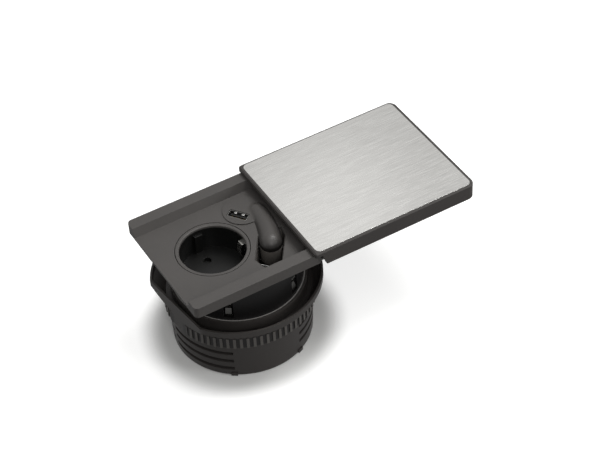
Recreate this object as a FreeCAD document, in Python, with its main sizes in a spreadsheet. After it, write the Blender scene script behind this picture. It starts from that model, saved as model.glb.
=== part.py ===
import FreeCAD, Part
import math
import os
import re
import Sketcher

# Desk grommet with a sliding lid, an earthed socket, a USB port and a cable outlet.
# Origin: axis of the round neck at the desk top's height. +X is the way the lid opens,
# +Y is the back and +Z is up. Everything below z = 0 hangs under the desk.

Vector = FreeCAD.Vector
Rotation = FreeCAD.Rotation
Placement = FreeCAD.Placement

os.makedirs("parts", exist_ok=True)
doc = FreeCAD.newDocument("DeskGrommet")
sheet = doc.addObject("Spreadsheet::Sheet", "Sizes")

# Driving dimensions, in millimetres and degrees.
SIZES = {
    # tray on the desk top
    "tray_left": 49.4,
    "tray_right": 52.6,
    "tray_half": 43.5,
    "floor_top": 1.8,
    "rail_top": 7.5,
    "rail_width": 7.8,
    "rail_slope": 2.3,
    "rail_set_back": 19.1,
    "deck_step": 1.6,
    "corner_radius": 3.0,
    # neck through the desk
    "neck_outer": 39.5,
    "neck_wall": 2.0,
    "neck_depth": 46.0,
    "window_width": 6.0,
    "window_top": 11.0,
    "window_height": 13.0,
    "spring_thickness": 0.4,
    "spring_width": 4.0,
    # clamping ring
    "ring_gap": 0.08,
    "turning_gap": 0.3,
    "collar_wall": 2.0,
    "lip_top": 25.2,
    "lip_height": 4.0,
    "lip_wall": 1.3,
    "lip_flare": 5.4,
    "ear_flare": 2.0,
    "ear_start": 121.0,
    "ear_span": 42.0,
    "cone_height": 5.4,
    "band_height": 8.6,
    "ring_turn": 7.0,
    "rib_count": 72,
    "rib_width": 1.7,
    "rib_height": 0.6,
    # pot under the ring
    "pot_height": 26.3,
    "pot_draft": 1.0,
    "pot_wall": 1.8,
    "pot_turn": -6.0,
    "slot_height": 2.6,
    "slot_pitch": 6.7,
    "slot_left_drop": 13.3,
    "slot_right_drop": 10.1,
    "slot_half_span": 60.5,
    "slot_strut": 2.5,
    "cover_thickness": 2.0,
    "cover_lift": 0.4,
    "boss_inset": 2.8,
    "clamp_x": -28.0,
    "clamp_y": 0.0,
    "clamp_screw_spread": 8.5,
    # lid
    "lid_overlap": 4.9,
    "lid_length": 111.6,
    "lid_deck": 2.8,
    "lid_skirt_gap": 0.45,
    "lid_skirt_wall": 2.55,
    "lid_skirt_bottom": 0.4,
    "lid_end_wall": 2.5,
    "lid_corner": 5.0,
    "plate_rim": 1.4,
    "plate_thickness": 1.0,
    "plate_corner": 3.5,
    "plate_gap": 0.05,
    # guide rails under the lid and the shoes that they run on
    "guide_width": 6.4,
    "guide_height": 3.6,
    "guide_wall": 0.8,
    "shoe_length": 11.0,
    "stop_length": 1.3,
    "slide_gap": 0.3,
    # socket
    "socket_x": -15.0,
    "recess_radius": 20.0,
    "recess_depth": 17.5,
    "bezel_width": 2.2,
    "bezel_gap": 0.4,
    "well_wall": 1.8,
    "well_base": 2.0,
    "ear_thickness": 2.2,
    "pin_spacing": 19.0,
    "pin_hole_radius": 2.5,
    "base_height": 20.3,
    "shutter_width": 8.0,
    "shutter_travel": 6.6,
    "socket_screw": 12.5,
    "terminal_height": 9.0,
    "terminal_pitch": 6.6,
    # USB port
    "usb_x": 11.6,
    "usb_y": 16.7,
    "usb_turn": -54.4,
    "usb_width": 12.6,
    "usb_depth": 5.6,
    "usb_wall": 0.35,
    "usb_length": 13.0,
    "board_thickness": 1.4,
    "pad_x": 16.0,
    "pad_y": 19.0,
    "pad_radius": 12.5,
    "pad_rise": 0.6,
    # cable outlet
    "hood_radius": 6.75,
    "hood_wall": 1.3,
    "hood_axis_z": 0.75,
    "hood_bend": 86.0,
    "bend_x": -61.7,
    "bend_y": 21.5,
    "hood_start": -4.0,
    "hood_finish": -24.0,
    "hood_tilt": 6.0,
    "seam_drop": 0.6,
    "outlet_turn": -124.8,
    "outlet_side_gap": 0.95,
    "outlet_back": 4.1,
    "outlet_front": 15.1,
    "outlet_point": 6.0,
    "outlet_rim": 0.7,
    "chute_back": 14.0,
    "chute_wall": 1.2,
    "chute_depth": 14.0,
    "flap_drop": 11.0,
    "flap_wall": 1.1,
    "hinge_ahead": 1.0,
    "hinge_drop": 2.0,
    "hinge_radius": 0.8,
}

# Sizes that follow from the driving ones, so that the pieces keep fitting when one is changed.
FITS = {
    "rail_end": "tray_right - rail_set_back",
    "deck_half": "tray_half - deck_step",
    "tray_floor_half": "tray_half - rail_width - rail_slope",
    "window_bottom": "window_top + window_height",
    "lid_left": "rail_end - lid_overlap",
    "lid_right": "lid_left + lid_length",
    "lid_travel": "(lid_left + lid_right) / 2",
    "lid_half": "tray_half + lid_skirt_gap + lid_skirt_wall",
    "lid_under": "rail_top + slide_gap + 0.4",
    "lid_top": "lid_under + lid_deck",
    "plate_left": "lid_left + plate_rim + 0.5",
    "plate_right": "lid_right - plate_rim - 0.7",
    "plate_half": "lid_half - plate_rim",
    "guide_y": "tray_floor_half - 2.8",
    "shoe_left": "tray_right - shoe_length - 5.6",
    "collar_top": "lip_top + 0.8",
    "band_top": "lip_top + lip_height + cone_height",
    "band_outer": "neck_outer + 6.3",
    "ring_flat": "band_outer - 0.5",
    "lip_outer": "band_outer + lip_flare",
    "ring_bottom": "band_top + band_height",
    "rim_inner": "neck_outer + ring_gap + collar_wall + turning_gap",
    "pot_top_radius": "band_outer - 1.6",
    "pot_bottom_radius": "pot_top_radius - pot_draft",
    "pot_inner": "pot_bottom_radius - pot_wall",
    "pot_shoulder": "ring_bottom + 0.8",
    "pot_bottom": "pot_shoulder + pot_height",
    "slot_left_level": "pot_shoulder + slot_left_drop",
    "slot_right_level": "pot_shoulder + slot_right_drop",
    "bezel_outer": "recess_radius + bezel_width",
    "well_floor": "recess_depth - floor_top",
    "base_top": "well_floor + well_base",
    "base_bottom": "base_top + base_height",
    "base_radius": "recess_radius + 0.5",
    "ear_reach": "recess_radius + 5.5",
    "pad_top": "floor_top + pad_rise",
    "usb_low": "pad_top - 0.3 - usb_length",
    "outlet_half_width": "hood_radius + outlet_side_gap",
    "taper_start": "outlet_back + 2.1",
    "taper_finish": "chute_back - 0.8",
    "taper_half": "hood_radius - 1.75",
}

for row, (alias, content) in enumerate([*SIZES.items(), *FITS.items()], start=1):
    sheet.set("A%d" % row, alias)
    sheet.set("B%d" % row, "=" + content if alias in FITS else str(content))
    sheet.setAlias("B%d" % row, alias)
doc.recompute()


def formula(text):
    """The expression with every size name pointed at the sheet."""
    names = r"[a-z]+(?:_[a-z]+)+"
    return re.sub(names, lambda found: "Sizes." + found.group(0), str(text))


def value(text):
    return float(sheet.evalExpression(formula(text)))


# ---------------------------------------------------------------- feature helpers

def plane(body, role):
    for feature in body.Origin.OriginFeatures:
        if feature.Role == role:
            return feature
    raise RuntimeError("no origin feature " + role)


def new_body(label, at=("0", "0", "0"), turn="0"):
    body = doc.addObject("PartDesign::Body", label)
    body.Label = label
    place(body, at, turn)
    return body


def place(thing, at, turn="0"):
    """Puts a sub-part at a point, turned about the vertical, bound to the sheet."""
    for axis, text in zip("xyz", at):
        thing.setExpression("Placement.Base." + axis, formula(text))
    thing.setExpression("Placement.Rotation.Angle", formula(turn))
    thing.Placement = Placement(Vector(*[value(text) for text in at]), Rotation(Vector(0, 0, 1), value(turn)))


def sketch(body, name, role, shift="0", turn="0"):
    """A sketch on an origin plane, turned about its upright axis and shifted along its normal."""
    drawing = body.newObject("Sketcher::SketchObject", name)
    drawing.AttachmentSupport = [(plane(body, role), "")]
    drawing.MapMode = "FlatFace"
    sideways = "(%s) * sin(%s)" % (shift, turn)
    outwards = "(%s) * cos(%s)" % (shift, turn)
    base = Vector(value(sideways), 0, value(outwards))
    drawing.AttachmentOffset = Placement(base, Rotation(Vector(0, 1, 0), value(turn)))
    drawing.setExpression("AttachmentOffset.Base.x", formula(sideways))
    drawing.setExpression("AttachmentOffset.Base.z", formula(outwards))
    return drawing


def pin_point(drawing, edge, point, across, along):
    """Fixes one point of an edge to the sketch's origin by two driven distances."""
    for kind, text in (("DistanceX", across), ("DistanceY", along)):
        index = drawing.addConstraint(Sketcher.Constraint(kind, -1, 1, edge, point, value(text)))
        drawing.setExpression("Constraints[%d]" % index, formula(text))


def outline(drawing, points):
    """A closed outline of straight lines through the points, each given as two expressions."""
    first = drawing.GeometryCount
    corners = [Vector(value(across), value(along), 0) for across, along in points]
    count = len(corners)
    for index in range(count):
        drawing.addGeometry(Part.LineSegment(corners[index], corners[(index + 1) % count]))
    for index in range(count):
        following = first + (index + 1) % count
        drawing.addConstraint(Sketcher.Constraint("Coincident", first + index, 2, following, 1))
    for index, (across, along) in enumerate(points):
        pin_point(drawing, first + index, 1, across, along)


def rectangle(drawing, left, right, low, high):
    outline(drawing, [(left, low), (right, low), (right, high), (left, high)])


def rounded_rectangle(drawing, left, right, low, high, radius):
    """A rectangle whose corners are arcs: four pinned sides, joined by arcs of the radius."""
    inset = "(%s)" % radius
    sides = [
        ((left + " + " + inset, low), (right + " - " + inset, low)),
        ((right, low + " + " + inset), (right, high + " - " + inset)),
        ((right + " - " + inset, high), (left + " + " + inset, high)),
        ((left, high + " - " + inset), (left, low + " + " + inset)),
    ]
    first = drawing.GeometryCount
    ends = [[Vector(value(x), value(y), 0) for x, y in side] for side in sides]
    for start, stop in ends:
        drawing.addGeometry(Part.LineSegment(start, stop))
    for index, side in enumerate(sides):
        pin_point(drawing, first + index, 1, *side[0])
        pin_point(drawing, first + index, 2, *side[1])
    for index in range(4):
        start = ends[index][1]
        stop = ends[(index + 1) % 4][0]
        ahead = (ends[index][1] - ends[index][0]).normalize()
        bulge = start + ahead * value(radius) * math.sin(math.pi / 4)
        inward = (stop - start - ahead * value(radius)) * (1 - math.cos(math.pi / 4))
        arc = drawing.addGeometry(Part.Arc(start, bulge + inward, stop))
        drawing.addConstraint(Sketcher.Constraint("Coincident", first + index, 2, arc, 1))
        drawing.addConstraint(Sketcher.Constraint("Coincident", arc, 2, first + (index + 1) % 4, 1))
        driven = drawing.addConstraint(Sketcher.Constraint("Radius", arc, value(radius)))
        drawing.setExpression("Constraints[%d]" % driven, formula(radius))


def circle(drawing, across, along, radius):
    centre = Vector(value(across), value(along), 0)
    edge = drawing.addGeometry(Part.Circle(centre, Vector(0, 0, 1), value(radius)))
    pin_point(drawing, edge, 3, across, along)
    index = drawing.addConstraint(Sketcher.Constraint("Radius", edge, value(radius)))
    drawing.setExpression("Constraints[%d]" % index, formula(radius))


def pad(body, drawing, length, back=False):
    feature = body.newObject("PartDesign::Pad", drawing.Name + "_pad")
    feature.Profile = drawing
    feature.Reversed = back
    feature.setExpression("Length", formula(length))
    doc.recompute()
    return feature


def must_shrink(body, before, name):
    if body.Shape.Volume > before - 0.01:
        raise RuntimeError(name + " cuts nothing")


def pocket(body, drawing, depth, back=False):
    """Cuts along the sketch's normal reversed, or along it when back is set."""
    before = body.Shape.Volume
    feature = body.newObject("PartDesign::Pocket", drawing.Name + "_pocket")
    feature.Profile = drawing
    feature.Reversed = back
    feature.setExpression("Length", formula(depth))
    doc.recompute()
    must_shrink(body, before, drawing.Name)
    return feature


def revolve(body, drawing, angle="360"):
    feature = body.newObject("PartDesign::Revolution", drawing.Name + "_turned")
    feature.Profile = drawing
    feature.ReferenceAxis = (drawing, ["V_Axis"])
    feature.setExpression("Angle", formula(angle))
    doc.recompute()
    return feature


def groove(body, drawing, angle="360"):
    before = body.Shape.Volume
    feature = body.newObject("PartDesign::Groove", drawing.Name + "_groove")
    feature.Profile = drawing
    feature.ReferenceAxis = (drawing, ["V_Axis"])
    feature.setExpression("Angle", formula(angle))
    doc.recompute()
    must_shrink(body, before, drawing.Name)
    return feature


def polar_pattern(body, feature, count, angle="360"):
    pattern = body.newObject("PartDesign::PolarPattern", feature.Name + "_polar")
    pattern.Originals = [feature]
    pattern.Axis = (plane(body, "Z_Axis"), [""])
    pattern.setExpression("Angle", formula(angle))
    pattern.setExpression("Occurrences", formula(count))
    body.Tip = pattern
    doc.recompute()
    return pattern


def edges_where(body, test):
    """Names of the straight or round edges whose box passes the test."""
    names = []
    for index, edge in enumerate(body.Shape.Edges, start=1):
        if test(edge.BoundBox):
            names.append("Edge%d" % index)
    return names


def upright_at(across, along):
    """True for an upright edge that stands at the given point."""
    def test(box):
        upright = box.XLength < 0.01 and box.YLength < 0.01
        return upright and abs(box.XMin - across) < 0.01 and abs(box.YMin - along) < 0.01
    return test


def fillet(body, names, radius):
    base = body.Tip
    feature = body.newObject("PartDesign::Fillet", "Rounding")
    feature.Base = (base, names)
    feature.setExpression("Radius", formula(radius))
    doc.recompute()
    return feature


def chamfer(body, names, size):
    base = body.Tip
    feature = body.newObject("PartDesign::Chamfer", "Bevel")
    feature.Base = (base, names)
    feature.setExpression("Size", formula(size))
    doc.recompute()
    return feature


def box(label, x_range, y_range, z_range):
    solid = doc.addObject("Part::Box", label)
    for key, (low, high) in zip(("Length", "Width", "Height"), (x_range, y_range, z_range)):
        solid.setExpression(key, formula("(%s) - (%s)" % (high, low)))
    place(solid, (x_range[0], y_range[0], z_range[0]))
    return solid


def cylinder(label, x, y, low, high, radius):
    solid = doc.addObject("Part::Cylinder", label)
    solid.setExpression("Radius", formula(radius))
    solid.setExpression("Height", formula("(%s) - (%s)" % (high, low)))
    place(solid, (x, y, low))
    return solid


def cut(label, base, tool):
    result = doc.addObject("Part::Cut", label)
    result.Base = base
    result.Tool = tool
    return result


def fuse(label, pieces):
    result = doc.addObject("Part::MultiFuse", label)
    result.Shapes = pieces
    return result


def common(label, base, tool):
    result = doc.addObject("Part::MultiCommon", label)
    result.Shapes = [base, tool]
    return result


def feature(label, shape, at=Vector(0, 0, 0), turn=0.0):
    """A sub-part whose shape is worked out here, put in place after its shape is set."""
    thing = doc.addObject("Part::Feature", label)
    thing.Shape = shape
    thing.Placement = Placement(at, Rotation(Vector(0, 0, 1), turn))
    return thing


def strip(points, thickness, width):
    """Bent sheet metal: a path in the XZ plane, thickened and widened along Y."""
    path = Part.makePolygon([Vector(x, -width / 2, z) for x, z in points])
    profile = path.makeOffset2D(thickness, join=2, fill=True, openResult=True)
    return profile.extrude(Vector(0, width, 0))


def screw(at, head_radius, head_height, shank_radius, length, up=True):
    """A plain cylinder-head screw, its head at the point and its shank going up or down."""
    head = Part.makeCylinder(head_radius, head_height)
    shank = Part.makeCylinder(shank_radius, length, Vector(0, 0, head_height))
    solid = head.fuse(shank).removeSplitter()
    if not up:
        solid.rotate(Vector(0, 0, 0), Vector(1, 0, 0), 180)
    solid.translate(at)
    return solid


def ring_points(radius, angles, height):
    """Points on a circle about the origin at the given height."""
    return [Vector(radius * math.cos(a), radius * math.sin(a), height) for a in map(math.radians, angles)]


# ---------------------------------------------------------------- cable outlet outline

HOOD_END_X = "(bend_x + hood_bend * cos(hood_finish))"
HOOD_END_Y = "(bend_y + hood_bend * sin(hood_finish))"


def outlet_outline(drawing, back, spread, tapered):
    """The outlet pocket's outline in its own direction, grown on every side by the spread."""
    half = "(outlet_half_width + %s)" % spread
    front = "(outlet_front + 0.6 * (%s))" % spread
    corners = [
        ("-(%s)" % back, "-" + half),
        (front, "-" + half),
        (front + " + outlet_point + 0.8 * (%s)" % spread, "-outlet_half_width + outlet_point"),
        (front, half),
    ]
    if tapered:
        corners += [
            ("-(taper_start + %s)" % spread, half),
            ("-(taper_finish + %s)" % spread, "taper_half + %s" % spread),
        ]
    else:
        corners.append(("-(%s)" % back, half))
    outline(drawing, corners)


def outlet_prism(label, back, spread, low, high, tapered=True):
    """An upright prism of the outlet pocket's outline."""
    body = doc.addObject("PartDesign::Body", label)
    place(body, (HOOD_END_X, HOOD_END_Y, low), "outlet_turn")
    drawing = sketch(body, label + "_outline", "XY_Plane")
    outlet_outline(drawing, back, spread, tapered)
    pad(body, drawing, "(%s) - (%s)" % (high, low))
    return body


def outlet_rim():
    """The chamfer round the pocket's mouth, between two outlines of the outlet."""
    body = doc.addObject("PartDesign::Body", "outlet_rim_cutter")
    place(body, (HOOD_END_X, HOOD_END_Y, "floor_top"), "outlet_turn")
    lower = sketch(body, "outlet_rim_low", "XY_Plane", "-outlet_rim")
    outlet_outline(lower, "outlet_back", "0", True)
    upper = sketch(body, "outlet_rim_high", "XY_Plane", "0.2")
    outlet_outline(upper, "outlet_back + outlet_rim", "outlet_rim + 0.2", True)
    loft = body.newObject("PartDesign::AdditiveLoft", "outlet_rim_loft")
    loft.Profile = lower
    loft.Sections = [upper]
    doc.recompute()
    return body


# ---------------------------------------------------------------- upper housing

def make_upper_housing():
    body = new_body("housing_moulding")
    deck = sketch(body, "deck", "XY_Plane")
    outline(deck, [
        ("-tray_left", "-tray_half"), ("rail_end", "-tray_half"),
        ("rail_end", "-deck_half"), ("tray_right", "-deck_half"),
        ("tray_right", "deck_half"), ("rail_end", "deck_half"),
        ("rail_end", "tray_half"), ("-tray_left", "tray_half"),
    ])
    pad(body, deck, "floor_top")
    for name, side in (("front_rail", "-1"), ("back_rail", "1")):
        rail = sketch(body, name, "YZ_Plane", "-tray_left")
        outline(rail, [
            (side + " * tray_half", "0"),
            (side + " * tray_half", "rail_top"),
            (side + " * (tray_half - rail_width)", "rail_top"),
            (side + " * (tray_half - rail_width - rail_slope)", "floor_top"),
            (side + " * (tray_half - rail_width - rail_slope)", "0"),
        ])
        pad(body, rail, "tray_left + rail_end")
    corners = []
    for side in (-1, 1):
        corners += edges_where(body, upright_at(-value("tray_left"), side * value("tray_half")))
    fillet(body, corners, "corner_radius")

    neck = sketch(body, "neck", "XY_Plane")
    circle(neck, "0", "0", "neck_outer")
    circle(neck, "0", "0", "neck_outer - neck_wall")
    pad(body, neck, "neck_depth", back=True)

    # Windows for the detent springs.
    for index, azimuth in enumerate(spring_azimuths()):
        window = sketch(body, "window_%d" % (index + 1), "XZ_Plane", turn=str(azimuth + 90))
        rectangle(window, "-window_width / 2", "window_width / 2", "-window_bottom", "-window_top")
        pocket(body, window, "neck_outer + 1", back=True)

    opening = sketch(body, "socket_opening", "XY_Plane", "floor_top")
    circle(opening, "socket_x", "0", "bezel_outer + bezel_gap")
    pocket(body, opening, "floor_top")

    for index, (x, y) in enumerate(shoe_screw_points()):
        hole = sketch(body, "shoe_hole_%d" % (index + 1), "XY_Plane", "floor_top")
        circle(hole, str(x), str(y), "1.2")
        pocket(body, hole, "floor_top")
        sink = sketch(body, "shoe_sink_%d" % (index + 1), "XY_Plane")
        circle(sink, str(x), str(y), "2.3")
        pocket(body, sink, "1.1", back=True)

    usb_hole = box("usb_hole", ("-(usb_width / 2 + 0.3)", "usb_width / 2 + 0.3"),
                   ("-(usb_depth / 2 + 0.3)", "usb_depth / 2 + 0.3"), ("-1", "floor_top + 1"))
    turned = doc.addObject("Part::Compound", "usb_hole_turned")
    turned.Links = [usb_hole]
    place(turned, ("usb_x", "usb_y", "0"), "usb_turn")
    pocket_tool = outlet_prism("outlet_pocket", "outlet_back", "0", "-1", "floor_top + 1")
    behind = "(hood_finish + 4.0)"
    throat = cylinder("outlet_throat", "bend_x + hood_bend * cos%s" % behind,
                      "bend_y + hood_bend * sin%s" % behind, "-1", "floor_top + 1", "hood_radius - hood_wall")
    tools = fuse("housing_openings", [turned, pocket_tool, outlet_rim(), throat])
    return cut("upper_housing", body, tools)


def spring_azimuths():
    """Where the four detent springs stand round the neck."""
    return [-127, -60, 60, 127]


def shoe_screw_points():
    """Two screws in each guide shoe."""
    middle = value("shoe_left + shoe_length / 2")
    spread = value("shoe_length / 2 - 2.6")
    points = []
    for side in (-1, 1):
        for step in (-1, 1):
            points.append((middle + step * spread, side * value("guide_y")))
    return points


def make_detent_spring(index, azimuth):
    """A bowed spring strip behind a window of the neck, lying on the neck's inner wall."""
    inner = value("neck_outer - neck_wall")
    flush = value("neck_outer") - 0.3
    top = -value("window_top")
    bottom = -value("window_bottom")
    path = [
        (inner, top + 3.5), (inner, top - 0.6), (flush, top - 2.0),
        (flush, top - 3.2), (inner + 0.3, (top + bottom) / 2), (flush, bottom + 3.2),
        (flush, bottom + 2.0), (inner, bottom + 0.6), (inner, bottom - 3.5),
    ]
    half = value("spring_width") / 2
    inset = inner - math.sqrt(inner * inner - half * half) + 0.05
    shape = strip([(x - inset, z) for x, z in path], -value("spring_thickness"), 2 * half)
    return feature("detent_spring_%d" % index, shape, turn=azimuth)


# ---------------------------------------------------------------- lid guides

def make_shoe(label, side):
    """A T-headed guide shoe on the deck, which the lid's guide rail slides along."""
    body = new_body(label, ("shoe_left", side + " * guide_y", "floor_top"))
    foot = sketch(body, label + "_foot", "YZ_Plane")
    outline(foot, [
        ("-2.6", "0"), ("2.6", "0"), ("2.6", "1.2"), ("1.0", "1.2"),
        ("1.0", "lid_under - guide_height + guide_wall + 0.2 - floor_top"),
        ("guide_width / 2 - guide_wall - slide_gap", "lid_under - guide_height + guide_wall + 0.2 - floor_top"),
        ("guide_width / 2 - guide_wall - slide_gap", "lid_under - 0.8 - floor_top"),
        ("-(guide_width / 2 - guide_wall - slide_gap)", "lid_under - 0.8 - floor_top"),
        ("-(guide_width / 2 - guide_wall - slide_gap)",
         "lid_under - guide_height + guide_wall + 0.2 - floor_top"),
        ("-1.0", "lid_under - guide_height + guide_wall + 0.2 - floor_top"),
        ("-1.0", "1.2"), ("-2.6", "1.2"),
    ])
    pad(body, foot, "shoe_length")
    pilots = sketch(body, label + "_pilots", "XY_Plane")
    circle(pilots, "2.6", "0", "0.75")
    circle(pilots, "shoe_length - 2.6", "0", "0.75")
    pocket(body, pilots, "1.1", back=True)
    return body


def make_shoe_screws():
    screws = [screw(Vector(x, y, 0.1), 2.0, 1.0, 0.75, 1.75) for x, y in shoe_screw_points()]
    return feature("shoe_screws", Part.makeCompound(screws))


def make_lid_rail(label, side):
    """A C-shaped rail under the lid with a stop closing each end."""
    rail_left = "(shoe_left - slide_gap - stop_length)"
    rail_right = "(shoe_left + shoe_length + lid_travel + slide_gap + stop_length)"
    body = new_body(label, (rail_left, side + " * guide_y", "lid_under"))
    section = sketch(body, label + "_section", "YZ_Plane")
    half = "(guide_width / 2)"
    slot = "(guide_width / 2 - guide_wall - 1.1)"
    outline(section, [
        ("-" + half, "0"), ("-" + half, "-guide_height"), ("-" + slot, "-guide_height"),
        ("-" + slot, "-(guide_height - guide_wall)"),
        ("-(%s - guide_wall)" % half, "-(guide_height - guide_wall)"),
        ("-(%s - guide_wall)" % half, "-0.6"), ("%s - guide_wall" % half, "-0.6"),
        ("%s - guide_wall" % half, "-(guide_height - guide_wall)"),
        (slot, "-(guide_height - guide_wall)"), (slot, "-guide_height"),
        (half, "-guide_height"), (half, "0"),
    ])
    pad(body, section, rail_right + " - " + rail_left)
    for name, start in (("_stop_left", "0"), ("_stop_right", rail_right + " - " + rail_left + " - stop_length")):
        stop = sketch(body, label + name, "YZ_Plane", start)
        rectangle(stop, "-" + half, half, "-guide_height", "0")
        pad(body, stop, "stop_length")
    return body


# ---------------------------------------------------------------- lid

def make_lid_frame():
    body = new_body("lid_frame")
    deck = sketch(body, "lid_deck", "XY_Plane", "lid_under")
    rectangle(deck, "lid_left", "lid_right", "-lid_half", "lid_half")
    pad(body, deck, "lid_top - lid_under")
    inner = "(tray_half + lid_skirt_gap)"
    for name, side in (("front_skirt", "-1"), ("back_skirt", "1")):
        near = "lid_half" if side == "-1" else "-" + inner
        skirt = sketch(body, name, "XZ_Plane", near)
        outline(skirt, [
            ("lid_left + 4.4", "lid_under"), ("lid_left + 7.2", "lid_skirt_bottom"),
            ("lid_right", "lid_skirt_bottom"), ("lid_right", "lid_under"),
        ])
        pad(body, skirt, "lid_half - " + inner, back=True)
    end = sketch(body, "end_wall", "YZ_Plane", "lid_right - lid_end_wall")
    rectangle(end, "-lid_half", "lid_half", "lid_skirt_bottom", "lid_under")
    pad(body, end, "lid_end_wall")
    lip = sketch(body, "left_lip", "YZ_Plane", "lid_left")
    rectangle(lip, "-lid_half", "lid_half", "rail_top + slide_gap", "lid_under")
    pad(body, lip, "1.9")
    corners = []
    for side in (-1, 1):
        corners += edges_where(body, upright_at(value("lid_right"), side * value("lid_half")))
    fillet(body, corners, "lid_corner")
    left_corners = []
    for side in (-1, 1):
        left_corners += edges_where(body, upright_at(value("lid_left"), side * value("lid_half")))
    fillet(body, left_corners, "2.0")
    top = value("lid_top")
    rim = edges_where(body, lambda b: b.ZMin > top - 0.01 and b.ZLength < 0.01)
    chamfer(body, rim, "0.8")
    recess = sketch(body, "plate_recess", "XY_Plane", "lid_top")
    rounded_rectangle(recess, "plate_left", "plate_right", "-plate_half", "plate_half", "plate_corner")
    pocket(body, recess, "plate_thickness")
    return body


def make_lid_plate():
    body = new_body("lid_plate")
    plate = sketch(body, "plate", "XY_Plane", "lid_top - plate_thickness")
    rounded_rectangle(plate, "plate_left + plate_gap", "plate_right - plate_gap",
                      "-plate_half + plate_gap", "plate_half - plate_gap", "plate_corner - plate_gap")
    pad(body, plate, "plate_thickness")
    return body


# ---------------------------------------------------------------- socket

def make_socket_bezel():
    body = new_body("socket_bezel", ("socket_x", "0", "0"))
    section = sketch(body, "bezel_section", "XZ_Plane")
    outline(section, [
        ("recess_radius", "0"), ("bezel_outer", "0"), ("bezel_outer", "floor_top"),
        ("recess_radius + 0.5", "floor_top"), ("recess_radius", "floor_top - 0.5"),
    ])
    revolve(body, section)
    return body


def make_socket_well():
    body = new_body("socket_well", ("socket_x", "0", "0"))
    section = sketch(body, "well_section", "XZ_Plane")
    outline(section, [
        ("recess_radius", "0"), ("recess_radius + well_wall", "0"),
        ("recess_radius + well_wall", "-well_floor - well_base"),
        ("0", "-well_floor - well_base"), ("0", "-well_floor"), ("recess_radius", "-well_floor"),
    ])
    revolve(body, section)
    # Ears that lie against the tray's underside, and guide ribs inside the recess.
    for name, side in (("front_ear", "-1"), ("back_ear", "1")):
        ear = sketch(body, name, "XY_Plane")
        rectangle(ear, "-8", "12", side + " * (recess_radius + 0.6)", side + " * ear_reach")
        pad(body, ear, "ear_thickness", back=True)
    for name, side in (("front_key", "-1"), ("back_key", "1")):
        key = sketch(body, name, "XY_Plane", "-well_floor")
        rectangle(key, "-2.7", "2.7", side + " * (recess_radius - 1.9)", side + " * (recess_radius + 0.6)")
        pad(body, key, "well_floor - 2.5")
    holes = sketch(body, "pin_holes", "XY_Plane", "-well_floor")
    circle(holes, "0", "pin_spacing / 2", "pin_hole_radius")
    circle(holes, "0", "-pin_spacing / 2", "pin_hole_radius")
    pocket(body, holes, "well_base")
    slots = sketch(body, "earth_slots", "XY_Plane", "-(ear_thickness + 0.3)")
    rectangle(slots, "-(recess_radius + well_wall + 1)", "-(recess_radius - 1.5)", "-2.6", "2.6")
    rectangle(slots, "recess_radius - 1.5", "recess_radius + well_wall + 1", "-2.6", "2.6")
    pocket(body, slots, "well_floor - ear_thickness - 0.3")
    pilots = sketch(body, "screw_pilots", "XY_Plane", "-well_floor - well_base")
    circle(pilots, "-socket_screw", "socket_screw", "1.4")
    circle(pilots, "-socket_screw", "-socket_screw", "1.4")
    pocket(body, pilots, "1.4", back=True)
    return body


def make_earth_clip(label, side):
    """A bent earth spring: it stands in a slot of the well's wall and bows into the recess."""
    outer = value("recess_radius + well_wall") - 0.6
    top = -value("ear_thickness") - 1.3
    bottom = -value("well_floor")
    path = [
        (outer, bottom), (outer, top - 0.7), (outer - 1.0, top), (outer - 2.6, top),
        (outer - 3.6, top - 3.0), (outer - 3.6, top - 6.5), (outer - 2.4, top - 9.5),
    ]
    turn = 0.0 if side > 0 else 180.0
    return feature(label, strip(path, -0.7, 4.4), Vector(value("socket_x"), 0, 0), turn)


def make_socket_base():
    body = new_body("socket_base", ("socket_x", "0", "-base_bottom"))
    block = sketch(body, "base_block", "XY_Plane")
    circle(block, "0", "0", "base_radius")
    pad(body, block, "base_height")
    cavity = sketch(body, "shutter_cavity", "XY_Plane", "base_height")
    rectangle(cavity, "-(shutter_width / 2 + 0.3)", "shutter_width / 2 + shutter_travel + 3.4", "-13.8", "13.8")
    pocket(body, cavity, "2.2")
    bores = sketch(body, "contact_bores", "XY_Plane", "base_height")
    circle(bores, "0", "pin_spacing / 2", "3.25")
    circle(bores, "0", "-pin_spacing / 2", "3.25")
    pocket(body, bores, "base_height - 1.8")
    screws = sketch(body, "screw_ways", "XY_Plane", "base_height")
    circle(screws, "-socket_screw", "socket_screw", "1.6")
    circle(screws, "-socket_screw", "-socket_screw", "1.6")
    pocket(body, screws, "base_height")
    return body


def make_socket_screws():
    low = -value("base_bottom") - 1.6
    length = value("base_height + well_base") - 0.6
    out = value("socket_screw")
    x = value("socket_x") - out
    screws = [screw(Vector(x, side * out, low), 2.8, 1.6, 1.4, length) for side in (-1, 1)]
    return feature("socket_screws", Part.makeCompound(screws))


def make_shutter():
    low = "-(base_top + 1.9)"
    return box("contact_shutter", ("socket_x - shutter_width / 2", "socket_x + shutter_width / 2"),
               ("-13.4", "13.4"), (low, low + " + 1.5"))


def make_line_contact(label, side):
    """A slotted brass sleeve that grips one plug pin."""
    body = new_body(label, ("socket_x", side + " * pin_spacing / 2", "-(base_bottom - 1.8)"))
    sleeve = sketch(body, label + "_sleeve", "XY_Plane")
    circle(sleeve, "0", "0", "3.2")
    circle(sleeve, "0", "0", "2.42")
    pad(body, sleeve, "13.4")
    slot = sketch(body, label + "_slot", "XZ_Plane", "4")
    rectangle(slot, "-0.4", "0.4", "4", "14")
    pocket(body, slot, "8")
    return body


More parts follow.
